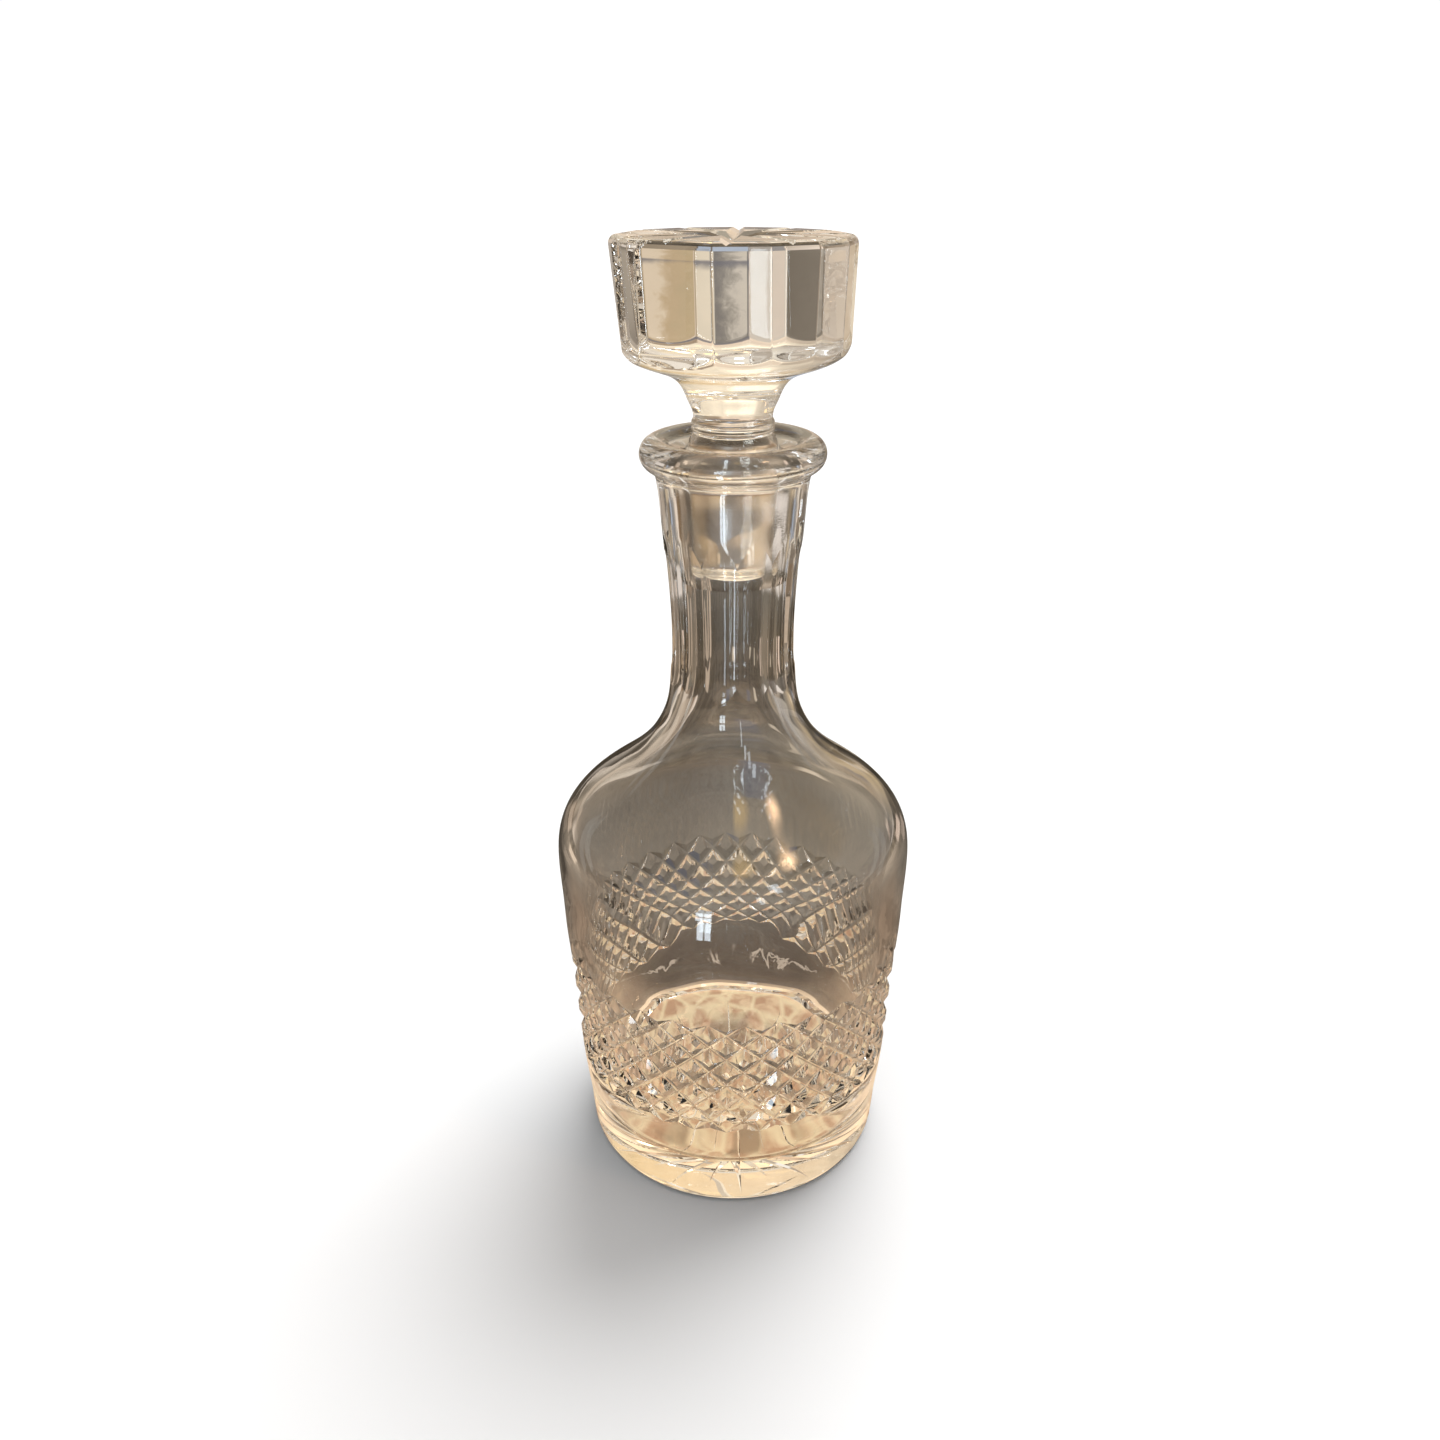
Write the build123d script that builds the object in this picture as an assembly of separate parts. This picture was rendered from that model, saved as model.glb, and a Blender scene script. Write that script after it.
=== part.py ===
from build123d import *
import math
import os

# Cut crystal decanter: a hollow blown and cut bottle, and a solid cut stopper
# that stands in a ground socket in its neck.
# Millimetres, +Z up, origin at the centre of the foot's flat underside.

# ---------------------------------------------------------------- dimensions
TOTAL_H = 280.0          # foot to top of stopper
FOOT_FLAT_R = 45.0       # flat ring that the decanter stands on
BODY_MAX_R = 54.27       # widest point, just under the shoulder
CAVITY_FLOOR_Z = 15.0    # thickness of the solid base
WALL = 5.2               # body wall
LIP_RING_C = (20.95, 225.5)   # centre of the rolled lip's section
LIP_RING_R = 4.4
SOCKET_TOP_R = 12.30     # ground socket, taper 1 in 10 on diameter
SOCKET_TOP_Z = 226.0
SOCKET_BOT_Z = 192.0
SEAT_CLEAR = 0.06        # radial gap between plug and socket
PLUG_BOT_Z = 193.4
N_FLUTES = 12            # flat flutes cut up the neck
STAR_RAYS = 16           # star cut under the foot
TOP_RAYS = 12            # star cut on top of the stopper
HEAD_TOP_Z = 280.0

# outside of the bottle as (radius, height), heel to under the lip
OUTER = [
    (47.95, 3.2), (48.35, 8.0), (48.61, 12.0), (49.42, 20.0), (50.40, 30.0), (51.02, 40.0),
    (51.48, 50.0), (51.95, 60.0), (52.64, 70.0), (53.35, 80.0), (53.74, 90.0),
    (54.10, 97.0), (BODY_MAX_R, 104.0), (53.69, 110.0), (51.87, 115.0), (48.15, 120.0),
    (42.13, 125.0), (35.81, 130.0), (30.22, 135.0), (25.64, 140.0), (21.90, 146.0),
    (19.56, 152.0), (18.30, 160.0), (17.98, 168.0), (17.95, 176.0), (18.22, 184.0),
    (18.70, 192.0), (19.27, 200.0), (19.89, 208.0), (20.50, 215.5), (20.95, 218.6),
]


def pt(r, z):
    return Vector(r, 0, z)


def lip_pt(deg):
    a = math.radians(deg)
    return pt(LIP_RING_C[0] + LIP_RING_R * math.cos(a), LIP_RING_C[1] + LIP_RING_R * math.sin(a))


def socket_r(z):
    return SOCKET_TOP_R - 0.05 * (SOCKET_TOP_Z - z)


# inside of the body: the outside moved in by the wall, heel to shoulder
inner = []
for i in range(2, 21):
    (r0, z0), (r1, z1), (r2, z2) = OUTER[i - 1], OUTER[i], OUTER[i + 1]
    t = Vector(r2 - r0, 0, z2 - z0).normalized()
    w = WALL + (0.6 if z1 < 30 else 0.0)
    r, z = r1 - t.Z * w, z1 + t.X * w
    if z > CAVITY_FLOOR_Z + 5:
        inner.append((r, z))
inner = [p for p in inner if p[1] < 141.0]
neck_bore = [(16.6, 144.0), (13.9, 150.0), (11.9, 156.5), (10.75, 164.0), (10.35, 172.0),
             (10.30, 181.0), (10.35, 190.6)]

# ---------------------------------------------------------------- bottle
with BuildPart() as bottle_b:
    with BuildSketch(Plane.XZ):
        with BuildLine():
            Line((0, 0), (FOOT_FLAT_R, 0))
            ThreePointArc((FOOT_FLAT_R, 0), (47.15, 0.95), OUTER[0])
            Spline(*OUTER, tangents=[(0.14, 1.0), (0.22, 1.0)])
            a = lip_pt(-58)
            Spline(OUTER[-1], (a.X, a.Z), tangents=[(0.22, 1.0), (math.sin(math.radians(58)), math.cos(math.radians(58)))])
            b, c, d = lip_pt(0), lip_pt(90), lip_pt(133)
            ThreePointArc((a.X, a.Z), (b.X, b.Z), (c.X, c.Z))
            m = lip_pt(112)
            ThreePointArc((c.X, c.Z), (m.X, m.Z), (d.X, d.Z))
            # dished top of the lip, down to the mouth
            Spline((d.X, d.Z), (16.2, 227.75), (14.0, 227.25), (13.1, 227.05),
                   tangents=[(-math.sin(math.radians(133)), math.cos(math.radians(133))), (-1, -0.2)])
            ThreePointArc((13.1, 227.05), (12.5, 226.72), (SOCKET_TOP_R, SOCKET_TOP_Z))
            Line((SOCKET_TOP_R, SOCKET_TOP_Z), (socket_r(SOCKET_BOT_Z), SOCKET_BOT_Z))
            Line((socket_r(SOCKET_BOT_Z), SOCKET_BOT_Z), neck_bore[-1])
            ins = list(reversed(neck_bore)) + list(reversed(inner))
            corner = (42.6, CAVITY_FLOOR_Z + 4.2)
            Spline(*(ins + [corner]), tangents=[(0, -1), (-0.25, -1)])
            Spline(corner, (41.3, CAVITY_FLOOR_Z + 1.6), (38.0, CAVITY_FLOOR_Z),
                   tangents=[(-0.25, -1), (-1, 0)])
            Line((38.0, CAVITY_FLOOR_Z), (0, CAVITY_FLOOR_Z))
            Line((0, CAVITY_FLOOR_Z), (0, 0))
        make_face()
    revolve(axis=Axis.Z)
bottle = bottle_b.part

# neck flutes: flat across, bowed along the neck so that each runs out in a pointed arch
FLUTE = [(19.6, 157.0), (18.50, 160.0), (17.98, 163.5), (17.52, 168.5), (17.36, 176.0),
         (17.62, 184.0), (18.10, 192.0), (18.78, 199.0), (19.42, 204.0), (19.85, 207.0), (20.6, 211.0)]
with BuildPart() as flute_b:
    with BuildSketch(Plane.XZ):
        with BuildLine():
            Spline(*FLUTE)
            Line(FLUTE[-1], (24.0, 211.0))
            Line((24.0, 211.0), (24.0, 157.0))
            Line((24.0, 157.0), FLUTE[0])
        make_face()
    extrude(amount=7.5, both=True)
flute = flute_b.part
step = 360.0 / N_FLUTES
for i in range(N_FLUTES):
    bottle = bottle - Rot(0, 0, -90 + step * (i + 0.5)) * flute


def poly_solid(points, faces):
    """A closed solid from flat polygons given as lists of point numbers."""
    made = [Face(Wire.make_polygon([points[k] for k in f], close=True)) for f in faces]
    return Solid(Shell(made))


# star cut under the foot: sharp rays, deepest in the middle, alternately long and short
pts = [(0, 0, 1.7)]
for i in range(STAR_RAYS):
    tip = 40.5 if i % 2 == 0 else 31.0
    a = math.radians(-90 + 360.0 / STAR_RAYS * i)
    b = a + math.pi / STAR_RAYS
    pts.append((tip * math.cos(a), tip * math.sin(a), 0.0))
    pts.append((9.0 * math.cos(b), 9.0 * math.sin(b), 0.0))
n = 2 * STAR_RAYS
pts += [(x, y, -1.0) for x, y, z in pts[1:]]
faces = [[0, 1 + k, 1 + (k + 1) % n] for k in range(n)]
faces += [[1 + k, 1 + (k + 1) % n, 1 + n + (k + 1) % n, 1 + n + k] for k in range(n)]
faces += [[1 + n + k for k in range(n)]]
bottle = bottle - poly_solid(pts, faces)

# ---------------------------------------------------------------- stopper
def plug_r(z):
    return socket_r(z) - SEAT_CLEAR


with BuildPart() as stop_b:
    with BuildSketch(Plane.XZ):
        with BuildLine():
            Line((0, PLUG_BOT_Z), (plug_r(PLUG_BOT_Z) - 1.0, PLUG_BOT_Z))
            ThreePointArc((plug_r(PLUG_BOT_Z) - 1.0, PLUG_BOT_Z),
                          (plug_r(PLUG_BOT_Z) - 0.30, PLUG_BOT_Z + 0.28),
                          (plug_r(PLUG_BOT_Z + 1.0), PLUG_BOT_Z + 1.0))
            Line((plug_r(PLUG_BOT_Z + 1.0), PLUG_BOT_Z + 1.0), (plug_r(226.0), 226.0))
            # shoulder above the ground plug, then two fine rings round the waist
            Spline((plug_r(226.0), 226.0), (12.0, 228.2), (11.15, 230.2), (10.55, 231.0))
            Spline((10.55, 231.0), (11.15, 231.9), (10.75, 232.9))
            Spline((10.75, 232.9), (11.25, 233.8), (10.6, 235.0))
            Spline((10.6, 235.0), (10.9, 237.0), (11.9, 239.2), (12.75, 241.2), (13.9, 243.4),
                   (16.2, 245.6), (20.2, 247.4), (25.3, 249.2), (29.2, 251.4), (31.4, 254.2),
                   (32.5, 258.5), (32.9, 265.0), (33.0, 272.0), (33.0, 277.6),
                   tangents=[(0.0, 1.0), (0.0, 1.0)])
            ThreePointArc((33.0, 277.6), (32.3, 279.3), (30.6, HEAD_TOP_Z))
            Line((30.6, HEAD_TOP_Z), (0, HEAD_TOP_Z))
            Line((0, HEAD_TOP_Z), (0, PLUG_BOT_Z))
        make_face()
    revolve(axis=Axis.Z)
stopper = stop_b.part

# head facets, cut by hand: the angles where neighbouring flats meet (0 is the front, -Y,
# positive towards +X), and each flat's distance from the axis at the top and the bottom
EDGES = [-90.0, -54.0, -9.0, 16.5, 40.5, 62.0, 90.0, 118.0, 147.0, 176.0, 206.0, 238.0, 270.0]
FLAT_TOP = [30.5, 29.5, 30.9, 30.9, 31.0, 30.7, 30.7, 30.6, 30.7, 30.6, 30.5, 30.5]
FLAT_BOT = [28.9, 28.8, 30.4, 30.7, 30.8, 30.6, 30.6, 30.5, 30.4, 30.1, 29.7, 29.0]
Z_TOP, Z_BOT = 281.0, 247.0


def flat_normal(k):
    m = math.radians((EDGES[k] + EDGES[k + 1]) / 2)
    return math.sin(m), -math.cos(m)


m = len(FLAT_TOP)
pts = []
for k in range(m):
    j = (k - 1) % m
    (a, b), (c, d) = flat_normal(j), flat_normal(k)
    det = a * d - b * c
    for dist, z in ((FLAT_BOT, Z_BOT), (FLAT_TOP, Z_TOP)):
        p, q = dist[j], dist[k]
        pts.append(((p * d - b * q) / det, (a * q - p * c) / det, z))
faces = [[2 * k, 2 * ((k + 1) % m), 2 * ((k + 1) % m) + 1, 2 * k + 1] for k in range(m)]
faces += [[2 * k for k in range(m)], [2 * k + 1 for k in range(m)]]
prism = poly_solid(pts, faces)
ring = Pos(0, 0, (Z_BOT + Z_TOP) / 2) * Cylinder(45.0, Z_TOP - Z_BOT)
stopper = stopper - (ring - prism)

# star cut on top: V grooves of one depth that cross in the middle and run out at the rim
GROOVE_W, GROOVE_D, REACH = 2.7, 1.7, 36.0
low, high = HEAD_TOP_Z - GROOVE_D, HEAD_TOP_Z + 0.6
w_high = GROOVE_W * (high - low) / GROOVE_D
half = math.pi / TOP_RAYS
pts = [(0, 0, low)]
for i in range(TOP_RAYS):
    a = math.radians(87.0 - 360.0 / TOP_RAYS * i)
    u, v = (math.cos(a), math.sin(a)), (-math.sin(a), math.cos(a))
    pts.append((REACH * u[0], REACH * u[1], low))
    pts.append((REACH * u[0] + w_high * v[0], REACH * u[1] + w_high * v[1], high))
    pts.append((REACH * u[0] - w_high * v[0], REACH * u[1] - w_high * v[1], high))
    r = w_high / math.sin(half)
    pts.append((r * math.cos(a - half), r * math.sin(a - half), high))
faces = []
m = TOP_RAYS
for i in range(m):
    q, nxt = 1 + 4 * i, 1 + 4 * ((i + 1) % m)
    prev = 1 + 4 * ((i - 1) % m)
    faces.append([0, q, q + 2, q + 3])
    faces.append([0, prev + 3, q + 1, q])
    faces.append([q, q + 1, q + 2])
top = []
for i in range(m):
    q = 1 + 4 * i
    top += [q + 1, q + 2, q + 3]
faces.append(top)
stopper = stopper - poly_solid(pts, faces)

# ---------------------------------------------------------------- write
os.makedirs("parts", exist_ok=True)
for name, shape in (("bottle", bottle), ("stopper", stopper)):
    solids = shape.solids()
    out = max(solids, key=lambda s: s.volume)
    print(name, "solids", len(solids), "volume cm3 %.1f" % (out.volume / 1000), "valid", out.is_valid,
          "box", out.bounding_box())
    export_step(out, "parts/%s.step" % name)
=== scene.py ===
"""Cut crystal decanter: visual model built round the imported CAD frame.

Two pieces, as on the real object: the bottle (outside, lip, ground socket and cavity in one closed
skin) and the solid stopper. All lengths below are millimetres until the mesh is made.
"""
import bpy
import bmesh
import math
import numpy as np
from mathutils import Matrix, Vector, noise


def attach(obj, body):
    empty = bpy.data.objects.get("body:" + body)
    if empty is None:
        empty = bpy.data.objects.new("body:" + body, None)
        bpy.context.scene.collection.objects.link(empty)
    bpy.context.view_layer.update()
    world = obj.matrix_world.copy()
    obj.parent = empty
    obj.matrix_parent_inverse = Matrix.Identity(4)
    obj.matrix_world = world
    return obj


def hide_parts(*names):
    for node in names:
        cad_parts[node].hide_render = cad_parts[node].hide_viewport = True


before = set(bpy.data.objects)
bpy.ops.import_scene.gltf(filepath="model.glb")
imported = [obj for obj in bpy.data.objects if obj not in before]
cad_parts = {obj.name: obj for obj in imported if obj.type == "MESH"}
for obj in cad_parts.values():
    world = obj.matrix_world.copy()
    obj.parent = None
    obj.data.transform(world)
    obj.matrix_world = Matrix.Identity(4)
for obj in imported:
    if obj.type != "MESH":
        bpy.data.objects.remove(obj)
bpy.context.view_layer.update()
scene = bpy.context.scene
MM = 0.001
PI = math.pi

# ------------------------------------------------------------------ shared dimensions
N = 384                         # columns round the bottle
PHASE = math.radians(3.43)      # cuts are turned this much from the front
NC = 32                         # diamonds round the band
ROW_H = 4.88                    # half a diamond's height
ROWS = [74.5 - 4.88 * r for r in range(9)] + [31.9]      # heights of the rows of crossings
DEPTH = [0.0, 1.0, 1.18, 1.25, 1.25, 1.25, 1.25, 1.18, 1.0, 0.0]
FLATTEN = 0.68                  # how far the four flats reach from the groove to the middle of a diamond
LAST = len(ROWS) - 1
WALL = 5.2
FLOOR_Z = 15.0

OUTER = [
    (47.95, 3.2), (48.35, 8.0), (48.61, 12.0), (49.42, 20.0), (50.40, 30.0), (51.02, 40.0),
    (51.48, 50.0), (51.95, 60.0), (52.64, 70.0), (53.35, 80.0), (53.74, 90.0),
    (54.10, 97.0), (54.25, 104.0), (53.69, 110.0), (51.87, 115.0), (48.15, 120.0),
    (42.45, 125.0), (35.95, 130.0), (30.22, 135.0), (25.64, 140.0), (21.90, 146.0),
    (19.56, 152.0), (18.30, 160.0), (17.98, 168.0), (17.95, 176.0), (18.22, 184.0),
    (18.70, 192.0), (19.27, 200.0), (19.89, 208.0), (20.50, 215.5), (20.95, 218.6),
]


def spline(points, n):
    """Natural cubic spline through points, by chord length, as n points."""
    p = np.array(points, float)
    s = np.concatenate([[0], np.cumsum(np.hypot(*np.diff(p, axis=0).T))])
    h = np.diff(s)
    m = len(p)
    a = np.zeros((m, m))
    b = np.zeros((m, 2))
    a[0, 0] = a[-1, -1] = 1
    for i in range(1, m - 1):
        a[i, i - 1], a[i, i], a[i, i + 1] = h[i - 1], 2 * (h[i - 1] + h[i]), h[i]
        b[i] = 6 * ((p[i + 1] - p[i]) / h[i] - (p[i] - p[i - 1]) / h[i - 1])
    k = np.linalg.solve(a, b)
    t = np.linspace(0, s[-1], n)
    j = np.clip(np.searchsorted(s, t, side="right") - 1, 0, m - 2)
    u, v, g = (s[j + 1] - t)[:, None], (t - s[j])[:, None], h[j][:, None]
    return (k[j] * u ** 3 + k[j + 1] * v ** 3) / (6 * g) + (p[j] / g - k[j] * g / 6) * u + (p[j + 1] / g - k[j + 1] * g / 6) * v


OUT_D = spline(OUTER, 4000)


def R(z):
    return float(np.interp(z, OUT_D[:, 1], OUT_D[:, 0]))


def wave(x, y, z, scale, amp, seed):
    """Smooth unevenness of fire-finished glass."""
    return amp * noise.noise(Vector((x / scale + seed, y / scale - seed, z / scale + 2.7 * seed)))


# ------------------------------------------------------------------ a small mesh builder
class Skin:
    def __init__(self):
        self.v, self.f, self.m = [], [], []

    def pt(self, r, th, z):
        self.v.append((r * math.sin(th + PHASE), -r * math.cos(th + PHASE), z))
        return len(self.v) - 1

    def face(self, ids, mat=0):
        ids = [k for i, k in enumerate(ids) if k != ids[i - 1]]
        if len(set(ids)) >= 3:
            self.f.append(ids)
            self.m.append(mat)

    def row(self, fr, fz):
        """One row of N points; fr and fz give radius and height from the column angle."""
        out = []
        for j in range(N):
            th = 2 * PI * j / N
            out.append(self.pt(fr(th) if callable(fr) else fr, th, fz(th) if callable(fz) else fz))
        return out

    def strip(self, lo, hi, mat=0):
        for j in range(N):
            k = (j + 1) % N
            self.face([lo[j], lo[k], hi[k], hi[j]], mat)

    def build(self, name, weld=2e-6, sharp=9.0):
        me = bpy.data.meshes.new(name)
        me.from_pydata([tuple(c * MM for c in p) for p in self.v], [], self.f)
        me.polygons.foreach_set("material_index", self.m)
        bm = bmesh.new()
        bm.from_mesh(me)
        bmesh.ops.remove_doubles(bm, verts=bm.verts, dist=weld)
        bmesh.ops.dissolve_degenerate(bm, dist=1e-7, edges=bm.edges)
        loose = [v for v in bm.verts if not v.link_faces]
        bmesh.ops.delete(bm, geom=loose, context="VERTS")
        bm.to_mesh(me)
        bm.free()
        me.validate()
        me.update()
        o = bpy.data.objects.new(name, me)
        scene.collection.objects.link(o)
        me.polygons.foreach_set("use_smooth", [True] * len(me.polygons))
        me.set_sharp_from_angle(angle=math.radians(sharp))
        return o


def arc3(p0, p1, p2, n):
    """n+1 points on the circle through three points."""
    (ax, ay), (bx, by), (cx, cy) = p0, p1, p2
    d = 2 * (ax * (by - cy) + bx * (cy - ay) + cx * (ay - by))
    ux = ((ax * ax + ay * ay) * (by - cy) + (bx * bx + by * by) * (cy - ay) + (cx * cx + cy * cy) * (ay - by)) / d
    uy = ((ax * ax + ay * ay) * (cx - bx) + (bx * bx + by * by) * (ax - cx) + (cx * cx + cy * cy) * (bx - ax)) / d
    r = math.hypot(ax - ux, ay - uy)
    t0, t1, t2 = (math.atan2(y - uy, x - ux) for x, y in (p0, p1, p2))
    def unwrap(t, ref):
        while t - ref > PI: t -= 2 * PI
        while t - ref < -PI: t += 2 * PI
        return t
    t1 = unwrap(t1, t0)
    t2 = unwrap(t2, t1)
    return [(ux + r * math.cos(t), uy + r * math.sin(t)) for t in np.linspace(t0, t2, n + 1)]


# ------------------------------------------------------------------ the bottle
CLEAR, GROUND = 0, 1
sk = Skin()
HALF = PI / NC                      # half a diamond's angle

# -- underside: a star of sharp rays in a flat, polished foot
STAR = 24
centre = sk.pt(0, 0, 2.0)
tips = [sk.pt(41.0 if i % 2 == 0 else 31.0, 2 * PI * i / STAR, 0) for i in range(STAR)]
vals = [sk.pt(7.0, 2 * PI * (i + 0.5) / STAR, 0) for i in range(STAR)]
ring = sk.row(43.4, 0.0)
per = N // STAR
for i in range(STAR):
    k = (i + 1) % STAR
    sk.face([centre, vals[i], tips[i]])
    sk.face([centre, tips[k], vals[i]])
    outer = [ring[(i * per + j) % N] for j in range(per, -1, -1)]
    sk.face([tips[i], vals[i], tips[k]] + outer)
prev = ring
for r, z in [(45.0, 0.0)] + arc3((45.0, 0.0), (47.15, 0.95), (47.95, 3.2), 7)[1:]:
    cur = sk.row(r, z)
    sk.strip(prev, cur)
    prev = cur

# -- plain heel, up to the zigzag where the lowest diamonds end
def s_frac(k):
    return FLATTEN * DEPTH[k] / max(DEPTH)


def zig(th, tip_z, inner_z, odd=0):
    """Height of the band's border: a point on every second half-column, a notch between."""
    c = th / HALF
    k = math.floor(c + 1e-9)
    t = c - k
    a, b = (tip_z, inner_z) if (k + odd) % 2 == 0 else (inner_z, tip_z)
    return a + (b - a) * t


ODD = LAST % 2
ZB_TIP, ZB_IN = ROWS[LAST], ROWS[LAST - 1] + s_frac(LAST - 1) * (ROWS[LAST] - ROWS[LAST - 1])
ZT_TIP, ZT_IN = ROWS[0], ROWS[1] + s_frac(1) * (ROWS[0] - ROWS[1])
for z in np.linspace(3.2, 29.0, 20)[1:]:
    cur = sk.row(R(z), z)
    sk.strip(prev, cur)
    prev = cur
for t in (0.34, 0.68, 1.0):
    def border(th, t=t):
        return 29.0 + (zig(th, ZB_TIP, ZB_IN, ODD) - 29.0) * t
    cur = sk.row(lambda th: R(border(th)), border)
    sk.strip(prev, cur)
    prev = cur
zig_low = prev
zig_high = sk.row(lambda th: R(zig(th, ZT_TIP, ZT_IN)), lambda th: zig(th, ZT_TIP, ZT_IN))

# -- the band: every diamond is a pyramid of four flats, with a narrow polished line in each groove
cache = {}


def P(th, z, depth):
    th = th % (2 * PI)
    key = (round(th * 1e6), round(z * 1e4), round(depth * 1e4))
    if key[0] == round(2 * PI * 1e6):
        key = (0,) + key[1:]
        th = 0.0
    if key not in cache:
        cache[key] = sk.pt(R(z) - depth, th, z)
    return cache[key]


EPS = 0.105
for c in range(2 * NC):
    for r in range(0, LAST + 1):
        if (r + c) % 2 == 0:
            continue
        ct, cz = c * HALF, ROWS[r]
        corners = {}
        for name, dr, dc in (("T", -1, 0), ("R", 0, 1), ("B", 1, 0), ("L", 0, -1)):
            rr = r + dr
            if 0 <= rr <= LAST:
                corners[name] = (rr, (c + dc) * HALF, ROWS[rr])
        pts = {}
        for name, (rr, th, z) in corners.items():
            d, s = DEPTH[rr], s_frac(rr)
            line = P(th, z, d)
            if d < 1e-6:
                inner = top = line
            else:
                e = EPS
                inner = P(th + (ct - th) * e, z + (cz - z) * e, d - 0.06)
                top = P(th + (ct - th) * s, z + (cz - z) * s, 0.0)
            pts[name] = (line, inner, top)
        order = [n for n in ("L", "B", "R", "T") if n in pts]
        pairs = [("L", "B"), ("B", "R"), ("R", "T"), ("T", "L")]
        for a, b in pairs:
            if a not in pts or b not in pts:
                continue
            la, ia, ta = pts[a]
            lb, ib, tb = pts[b]
            if r in (0, LAST):
                continue
            sk.face([la, lb, ib, ia])
            quad = [ia, ib, tb, ta]
            if len(set(quad)) == 4:
                sk.face([ia, ib, tb])
                sk.face([ia, tb, ta])
            else:
                sk.face(quad)
        if 1 <= r < LAST:
            mid = P(ct, cz, 0.0)
            ring_ids = [pts[n][2] for n in ("L", "B", "R", "T")]
            for i in range(4):
                sk.face([mid, ring_ids[i], ring_ids[(i + 1) % 4]])
        elif r == 0:
            (lb, ib, tb) = pts["B"]
            j0 = (c - 1) * (N // (2 * NC))
            left = [zig_high[(j0 + k) % N] for k in range(0, 7)]
            right = [zig_high[(j0 + 6 + k) % N] for k in range(0, 7)]
            sk.face([left[0], lb, ib])
            for k in range(6):
                sk.face([ib, left[k + 1], left[k]])
            sk.face([lb, right[6], ib])
            for k in range(6):
                sk.face([ib, right[k + 1], right[k]])
        else:
            (lt, it, tt) = pts["T"]
            j0 = (c - 1) * (N // (2 * NC))
            left = [zig_low[(j0 + k) % N] for k in range(0, 7)]
            right = [zig_low[(j0 + 6 + k) % N] for k in range(0, 7)]
            sk.face([left[0], it, lt])
            for k in range(6):
                sk.face([left[k], left[k + 1], it])
            sk.face([lt, it, right[6]])
            for k in range(6):
                sk.face([right[k], right[k + 1], it])

# -- clear body and shoulder above the band
prev = zig_high
for t in (0.22, 0.5, 0.78, 1.0):
    zt = 78.6
    cur = sk.row(lambda th: R(zig(th, ZT_TIP, ZT_IN) * (1 - t) + zt * t), lambda th: zig(th, ZT_TIP, ZT_IN) * (1 - t) + zt * t)
    sk.strip(prev, cur)
    prev = cur
seg = OUT_D[(OUT_D[:, 1] > 78.6) & (OUT_D[:, 1] < 157.2)]
s = np.concatenate([[0], np.cumsum(np.hypot(*np.diff(seg, axis=0).T))])
for q in np.linspace(0, s[-1], 84)[1:]:
    r0, z0 = np.interp(q, s, seg[:, 0]), np.interp(q, s, seg[:, 1])
    fade = min(1.0, (z0 - 78.6) / 8.0) * min(1.0, max(0.0, (157.2 - z0) / 8.0))
    cur = sk.row(lambda th: r0 - fade * (0.05 + wave(r0 * math.sin(th), r0 * math.cos(th), z0, 21.0, 0.07, 3.1)), z0)
    sk.strip(prev, cur)
    prev = cur

# -- neck flutes: twelve flats, each running out in a pointed arch above and a round one below
NF = 12
FL_BOT, FL_FULL0, FL_FULL1, FL_TOP = 159.3, 168.0, 195.0, 206.6
FL_D = 0.88


def flute_depth(z):
    if z <= FL_BOT or z >= FL_TOP:
        return 0.0
    if z < FL_FULL0:
        t = (z - FL_BOT) / (FL_FULL0 - FL_BOT)
        return FL_D * math.sin(t * PI / 2) ** 1.1
    if z > FL_FULL1:
        t = (FL_TOP - z) / (FL_TOP - FL_FULL1)
        return FL_D * (t ** 1.7 * (1 - t) + t * math.sin(t * PI / 2))
    return FL_D


zs = np.linspace(FL_BOT, FL_TOP, 1600)
cutd = np.array([flute_depth(z) for z in zs])
rad = np.array([R(z) for z in zs])
edge = {}
for j in range(N // NF // 2 + 1):
    phi = abs(j * 2 * PI / N)
    ok = cutd >= rad * (1 - math.cos(phi)) - 1e-9
    edge[j] = (zs[ok][0], zs[ok][-1]) if ok.any() else (180.0, 180.0)


def flute_cols(th):
    j = int(round(th / (2 * PI / N)))
    per_f = N // NF
    k = j % per_f                       # 0 is a ridge between two flutes
    off = abs(k - per_f // 2)           # 0 is the middle of a flute
    return off, off * 2 * PI / N


zbot_row, ztop_row = 157.2, 209.4
r_start = prev
for t in (0.25, 0.5, 0.75, 1.0):
    def fz(th, t=t):
        off, phi = flute_cols(th)
        return zbot_row + (edge[off][0] - zbot_row) * t
    cur = sk.row(lambda th: R(fz(th)), fz)
    sk.strip(prev, cur)
    prev = cur
M = 40
for i in range(1, M):
    def fz(th, t=i / M):
        off, phi = flute_cols(th)
        a, b = edge[off]
        return a + (b - a) * t
    def fr(th, fz=fz):
        off, phi = flute_cols(th)
        z = fz(th)
        ridge = max(0, 3 - (N // NF // 2 - off))
        return min(R(z), (R(z) - flute_depth(z)) / math.cos(phi) - (0.0, 0.010, 0.048, 0.135)[ridge])
    cur = sk.row(fr, fz)
    sk.strip(prev, cur)
    prev = cur
for t in (1.0, 0.75, 0.5, 0.25, 0.0):
    def fz(th, t=t):
        off, phi = flute_cols(th)
        return ztop_row + (edge[off][1] - ztop_row) * t
    cur = sk.row(lambda th: R(fz(th)), fz)
    sk.strip(prev, cur)
    prev = cur

# -- rolled lip, dished top, mouth
LC, LR = (20.95, 225.5), 4.37


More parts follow.
